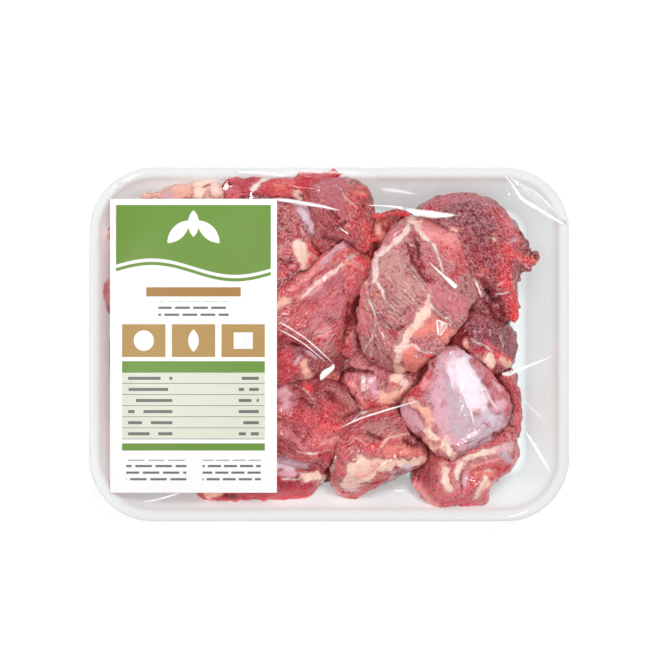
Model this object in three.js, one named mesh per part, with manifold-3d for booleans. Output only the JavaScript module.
// A retail pack of diced beef: a white foam tray heaped with hand-cut pieces of beef,
// overwrapped in clear stretch film that carries one large paper label.
// Millimetres, +Z up. The origin is the middle of the base, +X runs along the tray.
import * as THREE from "three";
import Module from "manifold-3d";
import { mergeVertices } from "three/addons/utils/BufferGeometryUtils.js";

const wasm = await Module();
wasm.setup();

// Foam tray, over its rim. Its corners tighten by a share of the inset towards the floor.
const TRAY_LENGTH = 239.4;
const TRAY_WIDTH = 176.6;
const TRAY_CORNER = 32;
const CORNER_TIGHTENING = 0.8;
const RIM_TOP = 31.5;
const LIP_WIDTH = 5.2;
const LIP_DROP = 3.4;
const LIP_ROLL = 1;
const WALL = 3.4;
const WALL_RUN = 15;
const FLOOR_THICKNESS = 4.6;
const FILLET = 3;
const BASE_EDGE = 4;

// Clear film, drawn over the heap and folded under the base, where its ends meet in a seam.
// GAP keeps neighbours apart, FILM_LIFT the film off the beef, and the film and the label
// bridge hollows this close to what lifts them.
const FILM = 0.4;
const GAP = 0.35;
const FOLD_INSET = 19;
const FOLD_SHARE = [0.9, 0.6];
const SEAM_SHARE = [0.62, 0.015];
const FILM_TOP_SHARES = [0.12, 0.24, 0.36, 0.48, 0.59, 0.7, 0.8, 0.88, 0.94, 1];
const FILM_LIFT = 1.3;
const FILM_BRIDGED = 4.5;

// Paper label on the film
const LABEL_LENGTH = 143;
const LABEL_WIDTH = 83;
const LABEL_PAPER = 0.35;
const LABEL_AT = { x: -68, y: -2.2 };
const LABEL_CELLS = { x: 7, y: 12 };
const LABEL_BRIDGED = 7.5;

// How finely things are divided
const SIDE_STEPS = 6;
const END_STEPS = 4;
const CORNER_STEPS = 6;
const MEAT_DETAIL = 3;
const COARSE_DETAIL = 2;
const CELL = 3;
const STRETCH_ROUNDS = 500;

// Pieces of beef stand this far apart once the upper ones have pressed into the lower ones,
// and keep ROOM_GAP to the tray
const PRESS_GAP = 0.5;
const ROOM_GAP = 0.6;
const ROOM_HEIGHT = 40;

// How a piece swells from its middle to its cut outline, and to its top and bottom
const SIDE_POWER = 0.52;
const RISE_POWER = 0.6;
const KNIFE_BLOCK = 120;

// Lumps on a piece: waves this high and long, each along its own way, and each shifted from
// piece to piece by its own turn
const LUMP_HEIGHT = 1.3;
const LUMP_LENGTH = 15;
const LUMP_WAVES = [
  { along: new THREE.Vector3(1, 0.4, 0), turn: 1.3 },
  { along: new THREE.Vector3(0, 1, -0.5), turn: 2.1 },
  { along: new THREE.Vector3(0.3, 0, 1), turn: 3.7 },
];

const foam = new THREE.MeshStandardMaterial({ color: 0xf2f2f0, roughness: 0.55 });
const clear = new THREE.MeshStandardMaterial({
  color: 0xffffff,
  roughness: 0.08,
  transparent: true,
  opacity: 0.15,
});
const paper = new THREE.MeshStandardMaterial({ color: 0xf7f6f4, roughness: 0.5 });
const lean = new THREE.MeshStandardMaterial({ color: 0x9c2f3a, roughness: 0.35 });
const pale = new THREE.MeshStandardMaterial({ color: 0xb9656c, roughness: 0.35 });
const fatty = new THREE.MeshStandardMaterial({ color: 0xdcb39b, roughness: 0.45 });

// The pieces of beef, uppermost first. outline is the piece's edge seen from above, base and
// top its lowest and highest levels, and tip the slope of its top along X and Y. Each of its
// flat knife faces is the way that it looks, as a turn from +X and a tilt upwards in degrees,
// and the share of the piece's reach that way at which the knife went through.
const CUTS = [
  {
    name: "beef_seamed",
    outline: [[38, 65], [58, 60], [74, 43], [72, 22], [55, -3], [33, -17], [14, -2], [14, 19], [24, 47]],
    base: 24,
    top: 49,
    tip: [0.02, -0.06],
    faces: [[200, 35, 0.82], [15, 42, 0.85], [80, 30, 0.88], [255, 30, 0.82]],
    look: pale,
  },
  {
    name: "beef_bar",
    outline: [[8, 53], [22, 41], [11, 19], [2, -9], [-20, 2], [-34, 0], [-34, 22], [-10, 38]],
    base: 15,
    top: 48,
    tip: [0.05, 0.1],
    faces: [[127, 31, 0.88], [49, 18, 0.9], [338, 30, 0.85]],
    look: lean,
  },
  {
    name: "beef_silverskin",
    outline: [[59, 0], [79, -13], [91, -30], [81, -48], [61, -59], [48, -50], [34, -35], [44, -19]],
    base: 18,
    top: 49,
    tip: [0.05, 0.12],
    faces: [[55, 62, 0.88], [205, 42, 0.84], [300, 35, 0.85]],
    look: pale,
  },
  {
    name: "beef_back_block",
    outline: [[-4, 83], [8, 84], [20, 76], [21, 52], [16, 41], [0, 41], [-12, 52], [-15, 79]],
    base: 2,
    top: 44,
    tip: [0, -0.12],
    faces: [[265, 55, 0.88], [0, 32, 0.86], [180, 35, 0.84]],
    look: lean,
  },
  {
    name: "beef_dark_round",
    outline: [[44, 69], [62, 75], [80, 74], [93, 60], [101, 47], [94, 30], [93, 11], [74, 13], [56, 45]],
    base: -2,
    top: 45,
    tip: [-0.08, -0.05],
    faces: [[205, 45, 0.88], [5, 38, 0.86], [280, 48, 0.84]],
    look: lean,
  },
  {
    name: "beef_fat_capped",
    outline: [[8, -40], [28, -30], [48, -43], [49, -59], [33, -67], [9, -78], [0, -69], [2, -52]],
    base: -2,
    top: 41,
    tip: [0.05, 0.16],
    faces: [[260, 38, 0.82], [115, 50, 0.86], [20, 40, 0.86]],
    look: fatty,
  },
  {
    name: "beef_swirled_fat",
    outline: [[48, -52], [70, -44], [91, -40], [94, -59], [81, -72], [79, -84], [56, -85], [41, -68]],
    base: -2,
    top: 39,
    tip: [0, 0.14],
    faces: [[275, 40, 0.84], [60, 55, 0.88], [170, 35, 0.86]],
    look: fatty,
  },
  {
    name: "beef_coarse_grain",
    outline: [[-45, 76], [-15, 79], [-2, 54], [-2, 37], [-20, 22], [-45, 17], [-57, 42], [-56, 64]],
    base: -2,
    top: 45,
    tip: [0.05, -0.06],
    faces: [[245, 48, 0.86], [75, 42, 0.84], [345, 50, 0.86]],
    look: lean,
  },
  {
    name: "beef_front_crimson",
    outline: [[-34, -22], [-5, -17], [11, -24], [16, -38], [3, -53], [-2, -65], [-29, -63], [-37, -38]],
    base: -2,
    top: 41,
    tip: [0.02, 0.1],
    faces: [[100, 50, 0.86], [265, 35, 0.84], [20, 42, 0.86]],
    look: lean,
  },
  {
    name: "beef_right_dark",
    outline: [[66, 18], [85, 13], [93, 7], [92, -11], [80, -20], [62, -18], [60, 4]],
    base: -2,
    top: 40,
    tip: [-0.1, 0.05],
    faces: [[0, 42, 0.84], [200, 52, 0.86]],
    coarse: true,
    look: lean,
  },
  {
    name: "beef_middle_left",
    outline: [[-38, 12], [-18, 18], [4, 8], [6, -16], [-15, -26], [-38, -24]],
    base: -2,
    top: 39,
    tip: [-0.05, 0],
    faces: [[170, 48, 0.86], [290, 40, 0.86]],
    look: lean,
  },
  {
    name: "beef_back_strip",
    outline: [[-54, 82], [-34, 85], [-12, 84], [-9, 72], [-30, 66], [-52, 64]],
    base: 2,
    top: 38,
    tip: [0.03, -0.2],
    faces: [[280, 45, 0.84]],
    coarse: true,
    look: fatty,
  },
  {
    name: "beef_back_nub",
    outline: [[21, 61], [28, 66], [41, 66], [54, 50], [48, 30], [24, 32], [16, 44]],
    base: -2,
    top: 37,
    tip: [0, -0.1],
    faces: [[120, 45, 0.84]],
    coarse: true,
    look: fatty,
  },
  {
    name: "beef_label_middle",
    outline: [[-59, 41], [-40, 20], [-35, 0], [-35, -48], [-55, -60], [-70, -32], [-67, 14]],
    base: -2,
    top: 45,
    tip: [0.02, 0.03],
    faces: [[160, 50, 0.86], [10, 45, 0.86]],
    coarse: true,
    look: lean,
  },
  {
    name: "beef_label_back",
    outline: [[-113, 58], [-92, 66], [-62, 62], [-57, 41], [-65, 16], [-97, 9], [-112, 16]],
    base: -2,
    top: 43,
    tip: [0.12, -0.04],
    faces: [[170, 40, 0.86], [300, 55, 0.88]],
    coarse: true,
    look: lean,
  },
  {
    name: "beef_label_front",
    outline: [[-112, 8], [-89, 12], [-66, 10], [-61, -28], [-64, -58], [-92, -68], [-108, -48]],
    base: -2,
    top: 43,
    tip: [0.12, 0.04],
    faces: [[190, 42, 0.86], [60, 55, 0.88]],
    coarse: true,
    look: lean,
  },
  {
    name: "beef_front_strip",
    outline: [[-74, -73], [-64, -54], [-35, -48], [-2, -60], [-5, -74], [-20, -80], [-50, -82]],
    base: -2,
    top: 32,
    tip: [0.03, 0.14],
    faces: [[275, 42, 0.84], [60, 55, 0.86]],
    coarse: true,
    look: lean,
  },
  {
    name: "beef_fat_corner",
    outline: [[-97, 66], [-82, 79], [-62, 83], [-49, 78], [-47, 59], [-89, 54]],
    base: -2,
    top: 36,
    tip: [0.05, -0.12],
    faces: [[110, 42, 0.84]],
    coarse: true,
    look: fatty,
  },
  {
    name: "beef_right_edge",
    outline: [[74, -5], [91, -10], [97, -30], [95, -48], [82, -56], [70, -33]],
    base: -2,
    top: 34,
    tip: [-0.12, 0],
    faces: [[345, 42, 0.84]],
    coarse: true,
    look: fatty,
  },
  {
    name: "beef_middle",
    outline: [[8, -12], [14, 12], [45, 32], [66, 12], [56, -20], [38, -37], [18, -39], [3, -25]],
    base: -2,
    top: 31,
    tip: [0, -0.08],
    faces: [[300, 45, 0.86], [150, 45, 0.86]],
    coarse: true,
    look: pale,
  },
];

// Positions of a geometry as a manifold-3d solid
function solidOf(geometry) {
  geometry.deleteAttribute("normal");
  geometry.deleteAttribute("uv");
  const merged = mergeVertices(geometry, 1e-4);
  return new wasm.Manifold(
    new wasm.Mesh({
      numProp: 3,
      vertProperties: new Float32Array(merged.attributes.position.array),
      triVerts: new Uint32Array(merged.index.array),
    }),
  );
}

function geometryOf(solid) {
  const { numProp, numVert, vertProperties, triVerts } = solid.getMesh();
  const positions = new Float32Array(numVert * 3);
  for (let i = 0; i < numVert; i++) {
    positions.set(vertProperties.subarray(i * numProp, i * numProp + 3), i * 3);
  }
  const geometry = new THREE.BufferGeometry();
  geometry.setAttribute("position", new THREE.BufferAttribute(positions, 3));
  geometry.setIndex(new THREE.BufferAttribute(triVerts, 1));
  return geometry;
}

// One turn round the tray's rounded rectangle, moved inwards by inset
function trayOutline(inset) {
  const halfX = TRAY_LENGTH / 2 - inset;
  const halfY = TRAY_WIDTH / 2 - inset;
  const radius = TRAY_CORNER - inset * CORNER_TIGHTENING;
  const corners = [
    [halfX - radius, halfY - radius, 0, END_STEPS],
    [radius - halfX, halfY - radius, 90, SIDE_STEPS],
    [radius - halfX, radius - halfY, 180, END_STEPS],
    [halfX - radius, radius - halfY, 270, SIDE_STEPS],
  ];
  const points = [];
  corners.forEach(([x, y, from, steps], i) => {
    // The straight side before this corner, then the corner's arc
    const [lastX, lastY, lastFrom] = corners[(i + 3) % 4];
    const turn = THREE.MathUtils.degToRad(from);
    const lastTurn = THREE.MathUtils.degToRad(lastFrom + 90);
    const start = [lastX + radius * Math.cos(lastTurn), lastY + radius * Math.sin(lastTurn)];
    const end = [x + radius * Math.cos(turn), y + radius * Math.sin(turn)];
    for (let s = 1; s < steps; s++) {
      const share = s / steps;
      points.push([start[0] + (end[0] - start[0]) * share, start[1] + (end[1] - start[1]) * share]);
    }
    for (let s = 0; s <= CORNER_STEPS; s++) {
      const angle = turn + (Math.PI / 2) * (s / CORNER_STEPS);
      points.push([x + radius * Math.cos(angle), y + radius * Math.sin(angle)]);
    }
  });
  return points;
}

// Rings of points, from a pole at the top middle, out and down, and back to a pole below
// or inside. A ring is { inset, share, z }: share shrinks it along X and Y, and z may
// depend on the place.
function ringSolid(firstPole, rings, lastPole) {
  const positions = [];
  const heightAt = (z, x, y) => (typeof z === "function" ? z(x, y) : z);
  const put = (x, y, z) => positions.push(x, y, heightAt(z, x, y));
  put(0, 0, firstPole);
  rings.forEach(({ inset, share = [1, 1], z }) => {
    trayOutline(inset).forEach(([x, y]) => put(x * share[0], y * share[1], z));
  });
  put(0, 0, lastPole);
  const around = trayOutline(0).length;
  const index = [];
  const vertex = (ring, i) => 1 + ring * around + (i % around);
  const last = 1 + rings.length * around;
  for (let i = 0; i < around; i++) {
    index.push(0, vertex(0, i), vertex(0, i + 1));
    index.push(last, vertex(rings.length - 1, i + 1), vertex(rings.length - 1, i));
    for (let ring = 0; ring + 1 < rings.length; ring++) {
      const [a, b] = [vertex(ring, i), vertex(ring, i + 1)];
      const [c, d] = [vertex(ring + 1, i), vertex(ring + 1, i + 1)];
      index.push(a, c, b, b, c, d);
    }
  }
  const geometry = new THREE.BufferGeometry();
  geometry.setAttribute("position", new THREE.Float32BufferAttribute(positions, 3));
  geometry.setIndex(index);
  return geometry;
}

const BASE_INSET = LIP_WIDTH + WALL_RUN;
const TRAY_UNDERSIDE = FILM + GAP;
const TRAY_FLOOR = TRAY_UNDERSIDE + FLOOR_THICKNESS;

// The tray: floor, sloped wall, rolled lip, then back down the outside to the base
function trayGeometry() {
  return ringSolid(
    TRAY_FLOOR,
    [
      { inset: BASE_INSET + FILLET, z: TRAY_FLOOR },
      { inset: BASE_INSET, z: TRAY_FLOOR + FILLET / 3 },
      { inset: BASE_INSET - FILLET / 2, z: TRAY_FLOOR + FILLET },
      { inset: LIP_WIDTH + LIP_ROLL, z: RIM_TOP - LIP_ROLL * 2 },
      { inset: LIP_WIDTH - LIP_ROLL / 2, z: RIM_TOP - LIP_ROLL / 3 },
      { inset: LIP_WIDTH / 2, z: RIM_TOP },
      { inset: LIP_ROLL / 2, z: RIM_TOP - LIP_ROLL },
      { inset: 0, z: RIM_TOP - LIP_DROP / 2 },
      { inset: LIP_ROLL, z: RIM_TOP - LIP_DROP },
      { inset: LIP_WIDTH - LIP_ROLL, z: RIM_TOP - LIP_DROP - LIP_ROLL },
      { inset: BASE_INSET - WALL, z: TRAY_UNDERSIDE + BASE_EDGE },
      { inset: BASE_INSET - WALL + BASE_EDGE, z: TRAY_UNDERSIDE },
    ],
    TRAY_UNDERSIDE,
  );
}

// The room that the beef may fill: above the floor and inside the wall
function roomGeometry() {
  const roof = RIM_TOP + ROOM_HEIGHT;
  const floor = TRAY_FLOOR + GAP;
  return ringSolid(
    roof,
    [
      { inset: LIP_WIDTH + ROOM_GAP, z: roof },
      { inset: LIP_WIDTH + ROOM_GAP, z: RIM_TOP },
      { inset: LIP_WIDTH + LIP_ROLL + ROOM_GAP, z: RIM_TOP - LIP_ROLL * 2 },
      { inset: BASE_INSET - FILLET / 2 + GAP, z: floor + FILLET },
      { inset: BASE_INSET + GAP, z: floor + FILLET / 3 },
      { inset: BASE_INSET + FILLET + GAP, z: floor },
    ],
    floor,
  );
}

// The middle of a piece's outline, and how far off its edge lies each way
function edgeOf(outline) {
  const corners = outline.map(([x, y]) => new THREE.Vector3(x, y, 0));
  const middle = corners.reduce((sum, p) => sum.add(p), new THREE.Vector3());
  middle.divideScalar(corners.length);
  const curve = new THREE.CatmullRomCurve3(corners, true);
  const ring = curve.getPoints(180).map((p) => {
    const arm = p.clone().sub(middle);
    return { angle: Math.atan2(arm.y, arm.x), length: Math.hypot(arm.x, arm.y) };
  });
  const lengthAt = (angle) => {
    const away = (p) => Math.abs(Math.atan2(Math.sin(p.angle - angle), Math.cos(p.angle - angle)));
    return ring.reduce((best, p) => (away(p) < away(best) ? p : best)).length;
  };
  return { middle, lengthAt };
}

// How far a piece of beef stands proud at a point
function lump(point, seed) {
  const waves = LUMP_WAVES.map(({ along, turn }) =>
    Math.sin((point.dot(along) * 2 * Math.PI) / LUMP_LENGTH + turn * seed),
  );
  return (LUMP_HEIGHT * waves.reduce((sum, wave) => sum + wave)) / waves.length;
}

// A block that takes off all of a piece that lies beyond one of its flat knife faces
function knifeBlock([turn, tilt, share], position, middle, grow) {
  const way = new THREE.Vector3(1, 0, 0);
  way.applyAxisAngle(new THREE.Vector3(0, 1, 0), -THREE.MathUtils.degToRad(tilt));
  way.applyAxisAngle(new THREE.Vector3(0, 0, 1), THREE.MathUtils.degToRad(turn));
  let reach = 0;
  const point = new THREE.Vector3();
  for (let i = 0; i < position.count; i++) {
    reach = Math.max(reach, point.fromBufferAttribute(position, i).sub(middle).dot(way));
  }
  const depth = (reach - grow) * share + grow;
  const block = new THREE.BoxGeometry(KNIFE_BLOCK, KNIFE_BLOCK, KNIFE_BLOCK);
  block.translate(0, 0, KNIFE_BLOCK / 2 + depth);
  const turned = new THREE.Quaternion().setFromUnitVectors(new THREE.Vector3(0, 0, 1), way);
  block.applyQuaternion(turned);
  block.translate(middle.x, middle.y, middle.z);
  return solidOf(block);
}

// A piece of beef as a puffed-up solid with its flat knife faces, grown outwards by grow
function cutSolid({ outline, base, top, tip, faces, coarse }, seed, grow = 0) {
  const ball = new THREE.IcosahedronGeometry(1, coarse ? COARSE_DETAIL : MEAT_DETAIL);
  const { middle, lengthAt } = edgeOf(outline);
  middle.z = (base + top) / 2;
  const position = ball.attributes.position;
  const way = new THREE.Vector3();
  const point = new THREE.Vector3();
  for (let i = 0; i < position.count; i++) {
    way.fromBufferAttribute(position, i).normalize();
    const angle = Math.atan2(way.y, way.x);
    const side = Math.hypot(way.x, way.y) ** SIDE_POWER * lengthAt(angle);
    const rise = Math.sign(way.z) * Math.abs(way.z) ** RISE_POWER;
    point.set(Math.cos(angle) * side, Math.sin(angle) * side, ((top - base) / 2) * rise);
    point.z += ((tip[0] * point.x + tip[1] * point.y) * (rise + 1)) / 2;
    point.addScaledVector(way, lump(point, seed) + grow).add(middle);
    position.setXYZ(i, point.x, point.y, point.z);
  }
  const blocks = faces.map((face) => knifeBlock(face, position, middle, grow));
  return blocks.reduce((solid, block) => solid.subtract(block), solidOf(ball));
}

// The largest body of a solid, without the loose scraps
function largest(solid) {
  return solid.decompose().reduce((most, body) => (body.volume() > most.volume() ? body : most));
}

// The heap: each lower piece is pressed in by those that lie on it
function heapOfBeef() {
  const room = solidOf(roomGeometry());
  let above = null;
  return CUTS.map((cut, i) => {
    const whole = cutSolid(cut, i + 1);
    const free = above ? whole.subtract(above) : whole;
    const grown = cutSolid(cut, i + 1, PRESS_GAP);
    above = above ? above.add(grown) : grown;
    return { ...cut, solid: largest(free.intersect(room)) };
  });
}

// Heights over the plan of the pack, on a square grid
class HeightMap {
  constructor(level) {
    this.across = Math.ceil(TRAY_LENGTH / CELL) + 5;
    this.along = Math.ceil(TRAY_WIDTH / CELL) + 5;
    this.heights = new Float64Array(this.across * this.along).fill(level);
  }

  place(i, j) {
    return [(i - (this.across - 1) / 2) * CELL, (j - (this.along - 1) / 2) * CELL];
  }

  // The height at a place, between the four cells round it
  at(x, y) {
    const u = THREE.MathUtils.clamp(x / CELL + (this.across - 1) / 2, 0, this.across - 1.001);
    const v = THREE.MathUtils.clamp(y / CELL + (this.along - 1) / 2, 0, this.along - 1.001);
    const [i, j] = [Math.floor(u), Math.floor(v)];
    const read = (p, q) => this.heights[q * this.across + p];
    const near = read(i, j) * (i + 1 - u) + read(i + 1, j) * (u - i);
    const far = read(i, j + 1) * (i + 1 - u) + read(i + 1, j + 1) * (u - i);
    return near * (j + 1 - v) + far * (v - j);
  }

  // A new map, with each cell's height worked out from its place in this one
  map(heightFor) {
    const made = new HeightMap(0);
    for (let j = 0; j < this.along; j++) {
      for (let i = 0; i < this.across; i++) {
        made.heights[j * this.across + i] = heightFor(i, j, this.heights[j * this.across + i]);
      }
    }
    return made;
  }

  // Raises the map to the top of a solid's triangles
  raiseTo(solid) {
    const { vertProperties: v, triVerts, numProp } = solid.getMesh();
    for (let t = 0; t < triVerts.length; t += 3) {
      const [a, b, c] = [0, 1, 2].map((k) => {
        const at = triVerts[t + k] * numProp;
        return new THREE.Vector3(v[at], v[at + 1], v[at + 2]);
      });
      this.raiseToTriangle(a, b, c);
    }
  }

  raiseToTriangle(a, b, c) {
    const area = (b.x - a.x) * (c.y - a.y) - (c.x - a.x) * (b.y - a.y);
    if (area <= 0) return;
    const cells = (low, count) => low / CELL + (count - 1) / 2;
    const fromI = Math.ceil(cells(Math.min(a.x, b.x, c.x), this.across));
    const toI = Math.floor(cells(Math.max(a.x, b.x, c.x), this.across));
    const fromJ = Math.ceil(cells(Math.min(a.y, b.y, c.y), this.along));
    const toJ = Math.floor(cells(Math.max(a.y, b.y, c.y), this.along));
    for (let j = fromJ; j <= toJ; j++) {
      for (let i = fromI; i <= toI; i++) {
        const [x, y] = this.place(i, j);
        const forB = ((x - a.x) * (c.y - a.y) - (c.x - a.x) * (y - a.y)) / area;
        const forC = ((b.x - a.x) * (y - a.y) - (x - a.x) * (b.y - a.y)) / area;
        if (forB < 0 || forC < 0 || forB + forC > 1) continue;
        const z = a.z + (b.z - a.z) * forB + (c.z - a.z) * forC;
        const cell = j * this.across + i;
        this.heights[cell] = Math.max(this.heights[cell], z);
      }
    }
  }

  // Each cell takes the highest value within reach
  widened(reach) {
    const span = Math.ceil(reach / CELL);
    return this.map((i, j, own) => {
      let high = own;
      for (let q = -span; q <= span; q++) {
        for (let p = -span; p <= span; p++) {
          const inside = i + p >= 0 && i + p < this.across && j + q >= 0 && j + q < this.along;
          if (inside && Math.hypot(p, q) * CELL <= reach) {
            high = Math.max(high, this.heights[(j + q) * this.across + i + p]);
          }
        }
      }
      return high;
    });
  }

  // A skin drawn tight over this map and held at level round the rim
  stretched(level) {
    const held = (x, y) => {
      const cornerX = Math.max(Math.abs(x) - (TRAY_LENGTH / 2 - TRAY_CORNER), 0);
      const cornerY = Math.max(Math.abs(y) - (TRAY_WIDTH / 2 - TRAY_CORNER), 0);
      const inCorner = cornerX > 0 && cornerY > 0;
      const edge = inCorner ? Math.hypot(cornerX, cornerY) : Math.max(cornerX, cornerY);
      return edge > TRAY_CORNER - LIP_WIDTH / 2;
    };
    let skin = this.map((i, j, own) => (held(...this.place(i, j)) ? level : Math.max(own, level)));
    for (let round = 0; round < STRETCH_ROUNDS; round++) {
      skin = skin.map((i, j, own) => {
        if (held(...this.place(i, j))) return own;
        const at = j * this.across + i;
        const around = [at - 1, at + 1, at - this.across, at + this.across];
        const mean = around.reduce((sum, n) => sum + skin.heights[n], 0) / 4;
        return Math.max(mean, this.heights[at]);
      });
    }
    return skin;
  }
}

// The film's lower face over the heap: tight over the beef, held at the rim
function filmHeights(beef) {
  const heap = new HeightMap(0);
  beef.forEach(({ solid }) => heap.raiseTo(solid));
  const lifted = heap.map((i, j, own) => own + FILM_LIFT);
  return lifted.widened(FILM_BRIDGED).stretched(RIM_TOP + GAP);
}

// The film: over the heap, round the rim, down to the base and folded under it as far as
// the seam, then back along its inner face
function filmGeometry(under) {
  const over = (x, y) => under.at(x, y) + FILM;
  const top = (z) =>
    FILM_TOP_SHARES.map((share) => ({ inset: LIP_WIDTH / 2, share: [share, share], z }));
  const side = (out, z) => [
    { inset: LIP_ROLL / 2 - out, z: RIM_TOP - LIP_ROLL / 2 + out },
    { inset: -out, z: RIM_TOP - LIP_DROP / 2 },
    { inset: LIP_ROLL / 2 - out, z: RIM_TOP - LIP_DROP - LIP_ROLL },
    { inset: BASE_INSET - WALL - BASE_EDGE / 4 - out, z: z + BASE_EDGE / 4 },
    { inset: BASE_INSET - WALL + BASE_EDGE / 4 - out, z },
    { inset: FOLD_INSET, share: FOLD_SHARE, z },
    { inset: FOLD_INSET, share: SEAM_SHARE, z },
  ];
  const outer = [...top(over), ...side(GAP + FILM, 0)];
  const inner = [...top((x, y) => under.at(x, y)), ...side(GAP, FILM)];
  return ringSolid(over, [...outer, ...inner.reverse()], (x, y) => under.at(x, y));
}

// The label: paper laid on the film, bridging its small hollows
function labelGeometry(film) {
  const map = new HeightMap(0);
  map.raiseTo(film);
  const rest = map.widened(LABEL_BRIDGED);
  const rows = [];
  for (const lift of [GAP, GAP + LABEL_PAPER]) {
    for (let j = 0; j <= LABEL_CELLS.y; j++) {
      for (let i = 0; i <= LABEL_CELLS.x; i++) {
        const x = LABEL_AT.x + (i / LABEL_CELLS.x - 0.5) * LABEL_WIDTH;
        const y = LABEL_AT.y + (j / LABEL_CELLS.y - 0.5) * LABEL_LENGTH;
        rows.push(x, y, rest.at(x, y) + lift);
      }
    }
  }
  const wide = LABEL_CELLS.x + 1;
  const layer = wide * (LABEL_CELLS.y + 1);
  const index = [];
  for (let j = 0; j < LABEL_CELLS.y; j++) {
    for (let i = 0; i < LABEL_CELLS.x; i++) {
      const a = j * wide + i;
      const [b, c, d] = [a + 1, a + wide, a + wide + 1];
      index.push(a, c, b, b, c, d);
      index.push(a + layer, b + layer, c + layer, b + layer, d + layer, c + layer);
    }
  }
  // The paper's cut edge, walked once round anticlockwise
  const edge = [];
  for (let i = 0; i < LABEL_CELLS.x; i++) edge.push(i);
  for (let j = 0; j < LABEL_CELLS.y; j++) edge.push(j * wide + LABEL_CELLS.x);
  for (let i = LABEL_CELLS.x; i > 0; i--) edge.push(LABEL_CELLS.y * wide + i);
  for (let j = LABEL_CELLS.y; j > 0; j--) edge.push(j * wide);
  edge.forEach((from, k) => {
    const to = edge[(k + 1) % edge.length];
    index.push(from, to, from + layer, to, to + layer, from + layer);
  });
  const geometry = new THREE.BufferGeometry();
  geometry.setAttribute("position", new THREE.Float32BufferAttribute(rows, 3));
  geometry.setIndex(index);
  return geometry;
}

function piece(name, geometry, material) {
  geometry.computeVertexNormals();
  const mesh = new THREE.Mesh(geometry, material);
  mesh.name = name;
  return mesh;
}

const pack = new THREE.Group();
pack.add(piece("tray", trayGeometry(), foam));
const beef = heapOfBeef();
beef.forEach(({ name, solid, look }) => pack.add(piece(name, geometryOf(solid), look)));
const film = filmGeometry(filmHeights(beef));
pack.add(piece("film", film, clear));
pack.add(piece("label", labelGeometry(solidOf(film.clone())), paper));

export default pack;
